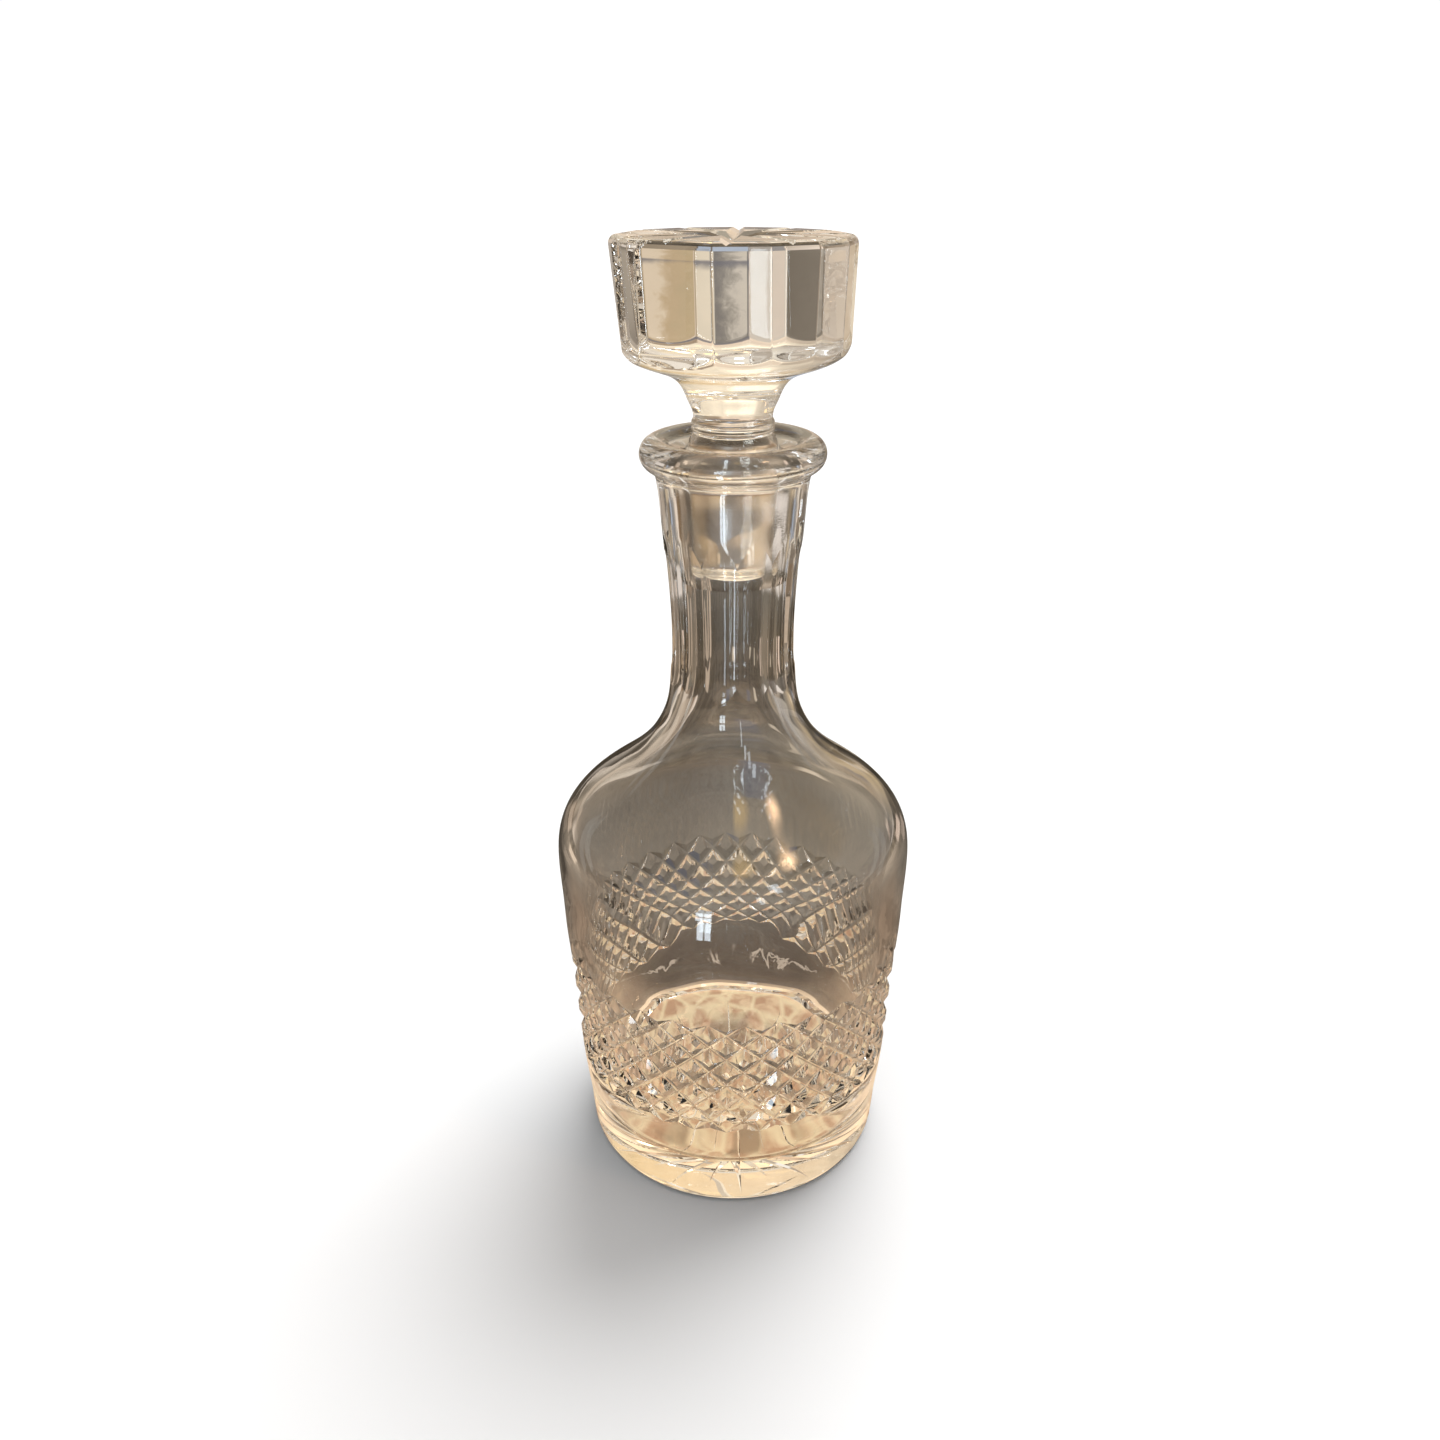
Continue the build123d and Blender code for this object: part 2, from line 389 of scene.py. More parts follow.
def lip(deg):
    a = math.radians(deg)
    return (LC[0] + LR * math.cos(a), LC[1] + LR * math.sin(a))


prof = [(R(z), z) for z in (211.5, 213.5, 215.2, 216.8, 218.2)]
neck_to_lip = spline([(R(218.2), 218.2), (21.12, 219.35), (21.75, 220.65), lip(-58)], 9)
prof += [tuple(p) for p in neck_to_lip[1:]]
prof += [lip(a) for a in np.linspace(-58, 128, 32)[1:]]
dish = spline([lip(128), (17.3, 228.15), (16.2, 227.75), (14.4, 227.35), (13.15, 227.05)], 10)
prof += [tuple(p) for p in dish[1:]]
prof += arc3((13.15, 227.05), (12.52, 226.72), (12.30, 226.0), 5)[1:]
for r0, z0 in prof:
    cur = sk.row(r0, z0)
    sk.strip(prev, cur)
    prev = cur

# -- ground socket, bore and cavity
def socket_r(z):
    return 12.30 - 0.05 * (226.0 - z)


for z in np.linspace(226.0, 192.0, 24)[1:]:
    cur = sk.row(socket_r(z), z)
    sk.strip(prev, cur, GROUND)
    prev = cur

inner = []
tang = np.gradient(OUT_D, axis=0)
tang /= np.hypot(tang[:, 0], tang[:, 1])[:, None]
for z in (20.0, 26.0, 33.0, 40.0, 50.0, 60.0, 70.0, 80.0, 90.0, 97.0, 103.0, 108.5, 113.0, 117.5, 122.0, 127.0, 132.0, 137.0):
    i = int(np.argmin(abs(OUT_D[:, 1] - z)))
    w = WALL + (0.5 if z < 30 else 0.0)
    inner.append((OUT_D[i, 0] - tang[i, 1] * w, OUT_D[i, 1] + tang[i, 0] * w))
neck_bore = [(16.6, 144.0), (13.9, 150.0), (11.9, 156.5), (10.75, 164.0), (10.35, 172.0), (10.30, 181.0), (10.35, 190.6)]
path = list(reversed(neck_bore)) + [p for p in reversed(inner) if p[1] < 141.0]
path += [(43.45, 17.9), (42.75, 16.3), (41.5, 15.3), (39.6, 14.95), (34.0, 14.9), (27.0, 14.85)]
dense = spline(path, 3000)
s = np.concatenate([[0], np.cumsum(np.hypot(*np.diff(dense, axis=0).T))])
for q in np.linspace(0, s[-1], 150):
    r0, z0 = np.interp(q, s, dense[:, 0]), np.interp(q, s, dense[:, 1])
    amp = 0.16 * min(1.0, max(0.0, (188 - z0) / 20.0))
    cur = sk.row(lambda th: r0 + wave(r0 * math.sin(th), r0 * math.cos(th), z0, 27.0, amp, 8.3)
                 + wave(r0 * math.sin(th), r0 * math.cos(th), z0, 11.0, amp * 0.25, 1.3), z0)
    sk.strip(prev, cur)
    prev = cur
for r0 in (24.0, 18.0, 12.0, 6.5, 2.5):
    cur = sk.row(r0, 14.9 - 0.25 * (1 - r0 / 30.0))
    sk.strip(prev, cur)
    prev = cur
mid = sk.pt(0, 0, 14.65)
for j in range(N):
    sk.face([prev[j], prev[(j + 1) % N], mid])

bottle = sk.build("decanter_bottle")

# ------------------------------------------------------------------ the stopper
def plug_r(z):
    return socket_r(z) - 0.06


PB = 193.4
blank = [(plug_r(PB) - 1.9, PB)] + arc3((plug_r(PB) - 1.9, PB), (plug_r(PB) - 0.62, PB + 0.55), (plug_r(PB + 1.8), PB + 1.8), 6)[1:]
n_ground0 = len(blank)
blank += [(plug_r(z), z) for z in np.linspace(PB + 1.8, 226.0, 24)[1:]]
n_ground1 = len(blank)
blank += [tuple(p) for p in spline([(plug_r(226.0), 226.0), (12.05, 228.1), (11.3, 230.0), (10.62, 230.95)], 12)[1:]]
blank += [tuple(p) for p in spline([(10.62, 230.95), (10.95, 231.25), (11.18, 231.85), (10.98, 232.5), (10.68, 232.8)], 12)[1:]]
blank += [tuple(p) for p in spline([(10.68, 232.8), (10.95, 233.1), (11.14, 233.7), (10.9, 234.4), (10.52, 234.9)], 12)[1:]]
blank += [tuple(p) for p in spline([(10.52, 234.9), (10.9, 237.0), (11.9, 239.2), (12.75, 241.2), (13.9, 243.4),
                                    (16.2, 245.6), (20.2, 247.4), (25.3, 249.2), (29.2, 251.4), (31.4, 254.2),
                                    (32.5, 258.5), (32.9, 265.0), (33.0, 272.0), (33.1, 280.0)], 70)[1:]]
# -- the head is cut with twelve flats, then every edge is softened by hand polishing
EDGES = [-90.0, -54.0, -9.0, 16.5, 40.5, 62.0, 90.0, 118.0, 147.0, 175.0, 206.0, 238.0, 270.0]
FLAT_TOP = [30.2, 29.3, 30.9, 30.9, 31.0, 30.7, 30.7, 30.6, 30.7, 30.6, 30.5, 30.2]
FLAT_BOT = [27.1, 28.2, 30.0, 30.3, 30.2, 29.7, 29.7, 30.1, 30.2, 29.9, 29.0, 27.3]
NORMAL = [math.radians((EDGES[k] + EDGES[k + 1]) / 2) for k in range(12)]
Z_TOP, Z_BOT, Z_CAP = 281.0, 247.0, 280.0
RIM, CORNER, SCALLOP = 2.5, 1.5, 0.45


def corner_angle(k, d):
    """Direction of the corner between flats k and k+1."""
    a, b = NORMAL[k], NORMAL[(k + 1) % 12]
    x = (d[k] * math.cos(b) - d[(k + 1) % 12] * math.cos(a)) / math.sin(a - b)
    y = (d[k] * math.sin(b) - d[(k + 1) % 12] * math.sin(a)) / math.sin(b - a)
    return math.atan2(x, y), (x, y)


def flats(z):
    t = (z - Z_BOT) / (Z_TOP - Z_BOT)
    return [FLAT_BOT[k] + (FLAT_TOP[k] - FLAT_BOT[k]) * t for k in range(12)]


def head_r(th, z, inset, rho):
    """Radius of the rounded polygon at angle th."""
    d = [v - inset for v in flats(z)]
    r = min(d[k] / max(1e-6, math.cos(th - NORMAL[k])) for k in range(12) if math.cos(th - NORMAL[k]) > 0.2)
    inner = [v - rho for v in d]
    for k in range(12):
        a, b = NORMAL[k], NORMAL[(k + 1) % 12]
        ang, (x, y) = corner_angle(k, inner)
        off = (th - ang + PI) % (2 * PI) - PI
        if abs(off) > 0.30:
            continue
        c = x * math.sin(th) + y * math.cos(th)
        q = rho * rho - (x * x + y * y - c * c)
        if q < 0:
            continue
        t = c + math.sqrt(q)
        px, py = t * math.sin(th) - x, t * math.cos(th) - y
        turn = math.atan2(px, py)
        lo = (turn - a + PI) % (2 * PI) - PI
        hi = (b - turn + PI) % (2 * PI) - PI
        if lo >= -1e-9 and hi >= -1e-9:
            return t
    return r


cols = set(round(a * 1.8, 4) for a in range(200))
for k in range(12):
    for z in (250.0, 265.0, 280.0):
        c = math.degrees(corner_angle(k, flats(z))[0])
        for q in range(-9, 10):
            cols.add(round((c + q * 0.33) % 360.0, 4))
cols = sorted(cols)
keep = [cols[0]]
for c in cols[1:]:
    if c - keep[-1] > 0.16:
        keep.append(c)
cols = [math.radians(c) for c in keep]
NS = len(cols)

body_rows = [p for p in blank if p[1] < 246.0]
rows = []
for r, z in body_rows:
    rows.append([(r, z)] * NS)
bp = np.array([p for p in blank if p[1] > 243.0])
hz = list(np.linspace(246.0, 261.6, 46)) + list(np.linspace(263.0, Z_CAP - RIM, 9)) \
    + [Z_CAP - RIM + RIM * math.sin(a) for a in np.linspace(0, PI / 2, 9)[1:]]
for z in hz:
    rb = float(np.interp(z, bp[:, 1], bp[:, 0]))
    inset = RIM - math.sqrt(max(0.0, RIM * RIM - max(0.0, z - (Z_CAP - RIM)) ** 2))
    rb -= inset
    rho = max(0.5, CORNER - 0.9 * inset)
    row = []
    for th in cols:
        a = head_r(th, z, inset, rho)
        h = max(SCALLOP * 2 - abs(a - rb), 0.0) / (SCALLOP * 2)
        row.append((min(a, rb) - h * h * SCALLOP / 2, z))
    rows.append(row)
verts, faces = [], []
for row in rows:
    for (r, z), th in zip(row, cols):
        verts.append((r * math.sin(th), -r * math.cos(th), z))
for i in range(len(rows) - 1):
    for j in range(NS):
        k = (j + 1) % NS
        faces.append((i * NS + j, i * NS + k, (i + 1) * NS + k, (i + 1) * NS + j))
faces.append(tuple(range(NS - 1, -1, -1)))
faces.append(tuple((len(rows) - 1) * NS + j for j in range(NS)))
bm = bmesh.new()
bv = [bm.verts.new(v) for v in verts]
for f in faces:
    bm.faces.new([bv[i] for i in f])
bmesh.ops.recalc_face_normals(bm, faces=bm.faces)
bm.normal_update()
bmesh.ops.scale(bm, vec=(MM, MM, MM), verts=bm.verts)
sme = bpy.data.meshes.new("decanter_stopper")
bm.to_mesh(sme)
bm.free()
stopper = bpy.data.objects.new("decanter_stopper", sme)
scene.collection.objects.link(stopper)


def apply_all(o):
    """Replaces an object's mesh by its evaluated mesh and drops the modifiers."""
    bpy.context.view_layer.update()
    dg = bpy.context.evaluated_depsgraph_get()
    new = bpy.data.meshes.new_from_object(o.evaluated_get(dg), depsgraph=dg)
    old = o.data
    o.modifiers.clear()
    o.data = new
    new.name = old.name
    bpy.data.meshes.remove(old)



# star cut on top
TOP_RAYS, TOP = 12, 280.0
GW, GD, REACH, RISE = 2.7, 1.7, 36.0, 0.85     # the cuts get shallower towards the rim
low, high = TOP - GD, TOP + 0.6
lip_low = low + RISE
K = GW / GD
wh = K * (high - lip_low)
half = PI / TOP_RAYS
inner_r = (high - low) * K / (math.sin(half) + RISE / REACH * K * math.cos(half))
pts = [(0, 0, low)]
for i in range(TOP_RAYS):
    a = math.radians(87.0 - 360.0 / TOP_RAYS * i)
    u, v = (math.cos(a), math.sin(a)), (-math.sin(a), math.cos(a))
    pts.append((REACH * u[0], REACH * u[1], lip_low))
    pts.append((REACH * u[0] + wh * v[0], REACH * u[1] + wh * v[1], high))
    pts.append((REACH * u[0] - wh * v[0], REACH * u[1] - wh * v[1], high))
    pts.append((inner_r * math.cos(a - half), inner_r * math.sin(a - half), high))
tf = []
for i in range(TOP_RAYS):
    q, nxt, prv = 1 + 4 * i, 1 + 4 * ((i + 1) % TOP_RAYS), 1 + 4 * ((i - 1) % TOP_RAYS)
    tf.append([0, q, q + 2, q + 3])
    tf.append([0, prv + 3, q + 1, q])
    tf.append([q, q + 1, q + 2])
tf.append([1 + 4 * i + o for i in range(TOP_RAYS) for o in (1, 2, 3)])
tool_me = bpy.data.meshes.new("star_tool")
tool_me.from_pydata([tuple(c * MM for c in p) for p in pts], [], tf)
tb = bmesh.new()
tb.from_mesh(tool_me)
bmesh.ops.recalc_face_normals(tb, faces=tb.faces)
tb.to_mesh(tool_me)
tb.free()
tool = bpy.data.objects.new("star_tool", tool_me)
scene.collection.objects.link(tool)
bo = stopper.modifiers.new("star", "BOOLEAN")
bo.operation = "DIFFERENCE"
bo.solver = "EXACT"
bo.object = tool
apply_all(stopper)
bpy.data.objects.remove(tool)
bev = stopper.modifiers.new("bevel", "BEVEL")
bev.limit_method = "ANGLE"
bev.angle_limit = math.radians(24)
bev.width = 0.16 * MM
bev.segments = 1
bev.use_clamp_overlap = True
apply_all(stopper)
sme = stopper.data
sme.polygons.foreach_set("use_smooth", [True] * len(sme.polygons))
sme.set_sharp_from_angle(angle=math.radians(11))

# the plug's side is ground, the rest is polished
idx = []
for p in sme.polygons:
    c = p.center / MM
    rr = math.hypot(c.x, c.y)
    idx.append(1 if PB + 0.6 < c.z < 226.2 and rr > 9.5 else 0)


# ------------------------------------------------------------------ materials
def node(nt, kind, **kw):
    n = nt.nodes.new(kind)
    for k, v in kw.items():
        if k.startswith("in_"):
            n.inputs[k[3:].replace("_", " ")].default_value = v
        else:
            setattr(n, k, v)
    return n


def crystal(name, tint, ior, density, vol_color, smear, bump_mm, seed):
    """Clear lead crystal: faint cords and ripples in the surface, light wiping marks."""
    m = bpy.data.materials.new(name)
    m.use_nodes = True
    nt = m.node_tree
    nt.nodes.clear()
    out = node(nt, "ShaderNodeOutputMaterial")
    b = node(nt, "ShaderNodeBsdfPrincipled")
    b.inputs["Base Color"].default_value = tint
    b.inputs["IOR"].default_value = ior
    b.inputs["Transmission Weight"].default_value = 1.0
    b.inputs["Specular IOR Level"].default_value = 0.5
    tc = node(nt, "ShaderNodeTexCoord")
    # wiping marks: soft patches broken by fine streaks
    big = node(nt, "ShaderNodeTexNoise", in_Scale=38.0 + seed, in_Detail=5.0, in_Roughness=0.62, in_Distortion=0.8)
    mp = node(nt, "ShaderNodeMapping")
    mp.inputs["Scale"].default_value = (1.0, 1.0, 0.16)
    mp.inputs["Rotation"].default_value = (0.5, 0.3, seed)
    fine = node(nt, "ShaderNodeTexNoise", in_Scale=900.0, in_Detail=2.0, in_Roughness=0.5)
    ramp = node(nt, "ShaderNodeMapRange", in_From_Min=0.52, in_From_Max=0.80, in_To_Min=0.0, in_To_Max=smear)
    mul = node(nt, "ShaderNodeMath", operation="MULTIPLY")
    nt.links.new(tc.outputs["Object"], big.inputs["Vector"])
    nt.links.new(tc.outputs["Object"], mp.inputs["Vector"])
    nt.links.new(mp.outputs["Vector"], fine.inputs["Vector"])
    nt.links.new(big.outputs["Fac"], ramp.inputs["Value"])
    nt.links.new(ramp.outputs["Result"], mul.inputs[0])
    nt.links.new(fine.outputs["Fac"], mul.inputs[1])
    nt.links.new(mul.outputs["Value"], b.inputs["Roughness"])
    # cords and ripples
    cord = node(nt, "ShaderNodeTexNoise", in_Scale=70.0, in_Detail=2.0, in_Roughness=0.45)
    bump = node(nt, "ShaderNodeBump", in_Strength=0.35, in_Distance=bump_mm * MM)
    nt.links.new(tc.outputs["Object"], cord.inputs["Vector"])
    nt.links.new(cord.outputs["Fac"], bump.inputs["Height"])
    nt.links.new(bump.outputs["Normal"], b.inputs["Normal"])
    nt.links.new(b.outputs["BSDF"], out.inputs["Surface"])
    if density > 0:
        va = node(nt, "ShaderNodeVolumeAbsorption")
        va.inputs["Color"].default_value = vol_color
        va.inputs["Density"].default_value = density
        nt.links.new(va.outputs["Volume"], out.inputs["Volume"])
    return m


def ground(name, tint, ior, density, vol_color, rough, seed):
    """Ground joint: satin, with fine rings from the grinding and polished-through patches."""
    m = bpy.data.materials.new(name)
    m.use_nodes = True
    nt = m.node_tree
    nt.nodes.clear()
    out = node(nt, "ShaderNodeOutputMaterial")
    b = node(nt, "ShaderNodeBsdfPrincipled")
    b.inputs["Base Color"].default_value = tint
    b.inputs["IOR"].default_value = ior
    b.inputs["Transmission Weight"].default_value = 1.0
    tc = node(nt, "ShaderNodeTexCoord")
    mp = node(nt, "ShaderNodeMapping")
    mp.inputs["Scale"].default_value = (1.0, 1.0, 7.0)
    patch = node(nt, "ShaderNodeTexNoise", in_Scale=95.0 + seed, in_Detail=6.0, in_Roughness=0.7, in_Distortion=1.4)
    ramp = node(nt, "ShaderNodeMapRange", in_From_Min=0.40, in_From_Max=0.64, in_To_Min=0.015, in_To_Max=rough)
    rings = node(nt, "ShaderNodeTexNoise", in_Scale=420.0, in_Detail=3.0)
    bump = node(nt, "ShaderNodeBump", in_Strength=0.30, in_Distance=0.03 * MM)
    nt.links.new(tc.outputs["Object"], patch.inputs["Vector"])
    nt.links.new(patch.outputs["Fac"], ramp.inputs["Value"])
    nt.links.new(ramp.outputs["Result"], b.inputs["Roughness"])
    nt.links.new(tc.outputs["Object"], mp.inputs["Vector"])
    nt.links.new(mp.outputs["Vector"], rings.inputs["Vector"])
    nt.links.new(rings.outputs["Fac"], bump.inputs["Height"])
    nt.links.new(bump.outputs["Normal"], b.inputs["Normal"])
    nt.links.new(b.outputs["BSDF"], out.inputs["Surface"])
    va = node(nt, "ShaderNodeVolumeAbsorption")
    va.inputs["Color"].default_value = vol_color
    va.inputs["Density"].default_value = density
    nt.links.new(va.outputs["Volume"], out.inputs["Volume"])
    return m


WHITE = (1.0, 0.995, 0.985, 1.0)
VOL = (0.94, 0.90, 0.84, 1.0)
m_bottle = crystal("bottle_crystal", WHITE, 1.545, 2.0, VOL, 0.05, 0.05, 0.0)
m_stop = crystal("stopper_crystal", WHITE, 1.545, 2.0, VOL, 0.05, 0.04, 1.7)
m_socket = ground("bottle_ground_socket", WHITE, 1.545, 2.0, VOL, 0.16, 0.0)
m_plug = ground("stopper_ground_plug", WHITE, 1.545, 2.0, VOL, 0.18, 9.0)
bottle.data.materials.append(m_bottle)
bottle.data.materials.append(m_socket)
stopper.data.materials.clear()
stopper.data.materials.append(m_stop)
stopper.data.materials.append(m_plug)
sme.polygons.foreach_set("material_index", idx)

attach(bottle, "bottle")
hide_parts("bottle")
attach(stopper, "stopper")
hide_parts("stopper")


# ------------------------------------------------------------------ floor, world, light, camera
def lin(c):
    c = c / 255.0
    return c / 12.92 if c <= 0.04045 else ((c + 0.055) / 1.055) ** 2.4


def srgb(r, g, b):
    return (lin(r), lin(g), lin(b), 1.0)


class Web:
    """Short-hand for building a node tree of maths and colours."""

    def __init__(self, nt):
        self.nt = nt

    def link(self, a, socket):
        if isinstance(a, (int, float)):
            socket.default_value = a
        elif isinstance(a, tuple):
            socket.default_value = a
        else:
            self.nt.links.new(a, socket)

    def m(self, op, a, b=0.0):
        n = self.nt.nodes.new("ShaderNodeMath")
        n.operation = op
        self.link(a, n.inputs[0])
        self.link(b, n.inputs[1])
        return n.outputs[0]

    def step(self, x, lo, hi):
        """0 below lo, 1 above hi, smooth between; falls instead when lo > hi."""
        n = self.nt.nodes.new("ShaderNodeMapRange")
        n.interpolation_type = "SMOOTHSTEP"
        self.link(x, n.inputs["Value"])
        flip = lo > hi
        n.inputs["From Min"].default_value, n.inputs["From Max"].default_value = (hi, lo) if flip else (lo, hi)
        n.inputs["To Min"].default_value, n.inputs["To Max"].default_value = (1.0, 0.0) if flip else (0.0, 1.0)
        return n.outputs["Result"]

    def mix(self, fac, a, b):
        n = self.nt.nodes.new("ShaderNodeMixRGB")
        self.link(fac, n.inputs["Fac"])
        self.link(a, n.inputs["Color1"])
        self.link(b, n.inputs["Color2"])
        return n.outputs["Color"]

    def times(self, col, val):
        n = self.nt.nodes.new("ShaderNodeVectorMath")
        n.operation = "SCALE"
        self.link(col, n.inputs[0])
        self.link(val, n.inputs["Scale"])
        return n.outputs[0]

    def ramp(self, x, lo, hi, stops):
        n = self.nt.nodes.new("ShaderNodeMapRange")
        n.inputs["From Min"].default_value, n.inputs["From Max"].default_value = lo, hi
        self.link(x, n.inputs["Value"])
        r = self.nt.nodes.new("ShaderNodeValToRGB")
        el = r.color_ramp.elements
        while len(el) < len(stops):
            el.new(0.5)
        for e, (p, c) in zip(el, stops):
            e.position = (p - lo) / (hi - lo)
            e.color = srgb(*c)
        self.nt.links.new(n.outputs["Result"], r.inputs["Fac"])
        return r.outputs["Color"]

    def noise(self, vec, scale, detail=3.0, rough=0.55, distortion=0.0):
        n = self.nt.nodes.new("ShaderNodeTexNoise")
        n.inputs["Scale"].default_value = scale
        n.inputs["Detail"].default_value = detail
        n.inputs["Roughness"].default_value = rough
        n.inputs["Distortion"].default_value = distortion
        self.link(vec, n.inputs["Vector"])
        return n.outputs["Fac"]

    def box(self, az, el, a0, a1, e0, e1, soft):
        """1 inside a soft-edged window of directions."""
        u = self.m("MULTIPLY", self.step(az, a0 - soft, a0 + soft), self.step(az, a1 + soft, a1 - soft))
        v = self.m("MULTIPLY", self.step(el, e0 - soft, e0 + soft), self.step(el, e1 + soft, e1 - soft))
        return self.m("MULTIPLY", u, v)


# The floor is a plain pale sheet to the camera. What the glass sees of the table it stands on is warmer and darker, as
# in a room, because clear glass has no look of its own against plain white. To the glass the table is an emission: its
# tones hold the table's colour and the room's light and shade, painted in.
FLOOR_R = 0.70
fl = bpy.data.meshes.new("floor")
fl.from_pydata([(0, 0, -0.0003)] + [(12.0 * math.sin(2 * PI * i / 96), 12.0 * math.cos(2 * PI * i / 96), -0.0003) for i in range(96)],
               [], [(0, (i + 1) % 96 + 1, i + 1) for i in range(96)])
floor = bpy.data.objects.new("floor", fl)
scene.collection.objects.link(floor)
fm = bpy.data.materials.new("floor")
fm.use_nodes = True
nt = fm.node_tree
nt.nodes.clear()
w = Web(nt)
out = node(nt, "ShaderNodeOutputMaterial")
lp = node(nt, "ShaderNodeLightPath")
dif = node(nt, "ShaderNodeBsdfDiffuse")
dif.inputs["Color"].default_value = (0.86, 0.86, 0.86, 1)
geo = node(nt, "ShaderNodeNewGeometry")
sep = node(nt, "ShaderNodeSeparateXYZ")
nt.links.new(geo.outputs["Position"], sep.inputs["Vector"])
ln = node(nt, "ShaderNodeVectorMath", operation="LENGTH")
nt.links.new(geo.outputs["Position"], ln.inputs[0])
rr = w.m("MULTIPLY", ln.outputs["Value"], 1000.0)
lr = w.m("LOGARITHM", w.m("ADD", rr, 1.0), 10.0)
cosa = w.m("DIVIDE", sep.outputs["Y"], w.m("ADD", ln.outputs["Value"], 1e-4))


def rings(stops):
    return w.ramp(lr, 1.2, 2.9, [(math.log10(r + 1.0), c) for r, c in stops])


back = rings([(20, (200, 165, 135)), (48, (214, 180, 146)), (51, (255, 228, 190)), (55, (246, 216, 180)), (59, (196, 170, 142)), (64, (110, 96, 82)),
              (80, (80, 72, 63)), (115, (100, 92, 83)), (150, (124, 116, 105)), (220, (92, 86, 78)), (320, (84, 75, 64)),
              (450, (58, 50, 39)), (650, (80, 73, 64))])
side = rings([(20, (200, 165, 135)), (48, (204, 170, 140)), (52, (252, 224, 190)), (64, (228, 196, 164)), (78, (208, 172, 140)),
              (105, (160, 138, 116)), (150, (140, 119, 100)), (220, (138, 125, 110)), (320, (186, 168, 148)), (450, (130, 116, 98)),
              (650, (112, 104, 92))])
front = rings([(20, (200, 165, 135)), (48, (198, 160, 122)), (52, (214, 178, 138)), (64, (226, 180, 128)), (78, (238, 182, 128)),
               (105, (208, 186, 164)), (150, (158, 132, 115)), (220, (172, 152, 140)), (320, (202, 192, 180)), (450, (178, 170, 160)),
               (650, (190, 180, 170))])
col = w.mix(w.step(cosa, 0.45, 0.92), side, back)
col = w.mix(w.step(cosa, -0.4, -0.9), col, front)
# painted uneven light on the table, and a painted bright web of light like the one the foot throws under itself, with
# painted darker patches under its middle
painted_uneven_light = w.m("ADD", 0.72, w.m("MULTIPLY", w.noise(geo.outputs["Position"], 26.0, 4.0, 0.6, 0.6), 0.56))
web = node(nt, "ShaderNodeTexVoronoi", feature="DISTANCE_TO_EDGE")
web.inputs["Scale"].default_value = 105.0
web.inputs["Randomness"].default_value = 1.0
nt.links.new(geo.outputs["Position"], web.inputs["Vector"])
painted_glints = w.step(web.outputs["Distance"], 0.16, 0.0)
warm = w.noise(geo.outputs["Position"], 150.0, 2.0, 0.5, 0.4)
patch0 = w.noise(geo.outputs["Position"], 70.0, 2.0, 0.5, 0.8)
painted_foot_light = w.mix(w.step(warm, 0.38, 0.62), srgb(186, 138, 104), srgb(232, 200, 160))
painted_foot_light = w.mix(w.m("MULTIPLY", painted_glints, 0.75), painted_foot_light, srgb(255, 236, 190))
# painted shade: darker patches under the middle of the foot
painted_dim_patches = w.m("MULTIPLY", w.step(rr, 36.0, 29.0), w.step(patch0, 0.42, 0.52))
painted_foot_light = w.mix(w.m("MULTIPLY", painted_dim_patches, 0.85), painted_foot_light, srgb(88, 69, 55))
col = w.mix(w.m("MULTIPLY", w.step(rr, 58.0, 44.0), 0.80), col, painted_foot_light)
# patches of light and dark around the foot, streaks farther out, a cool shade behind
near = w.m("MULTIPLY", w.step(rr, 58.0, 66.0), w.step(rr, 190.0, 120.0))
patch = w.noise(geo.outputs["Position"], 48.0, 2.0, 0.5, 1.2)
laced = w.mix(w.step(patch, 0.46, 0.54), w.times(col, 0.55), w.times(col, 1.25))
beside = w.m("MAXIMUM", w.step(cosa, 0.75, 0.45), w.step(rr, 95.0, 110.0))
col = w.mix(w.m("MULTIPLY", w.m("MULTIPLY", near, beside), 0.8), col, laced)
fa = w.m("MULTIPLY", w.m("ARCTAN2", sep.outputs["X"], sep.outputs["Y"]), 180 / PI)
bend = w.m("ADD", fa, w.m("MULTIPLY", w.noise(geo.outputs["Position"], 9.0, 2.0, 0.5), 5.0))
ribs = w.m("ADD", 1.0, w.m("MULTIPLY", w.m("SINE", w.m("MULTIPLY", bend, 1.15)), 0.34))
far = w.m("MULTIPLY", w.step(rr, 350.0, 400.0), w.step(cosa, 0.3, 0.7))
col = w.times(col, w.m("ADD", 1.0, w.m("MULTIPLY", far, w.m("SUBTRACT", ribs, 1.0))))
for a0, a1, r0, r1, tone in ((-47.0, -33.0, 385.0, 690.0, (200, 178, 156)), (37.0, 48.0, 300.0, 470.0, (236, 210, 190)),
                             (-67.0, -53.0, 290.0, 385.0, (244, 220, 194)),
                             (12.5, 17.0, 335.0, 400.0, (206, 190, 168))):
    col = w.mix(w.m("MULTIPLY", w.box(bend, rr, a0 + 2.5, a1 + 2.5, r0, r1, 1.5), 0.9), col, srgb(*tone))
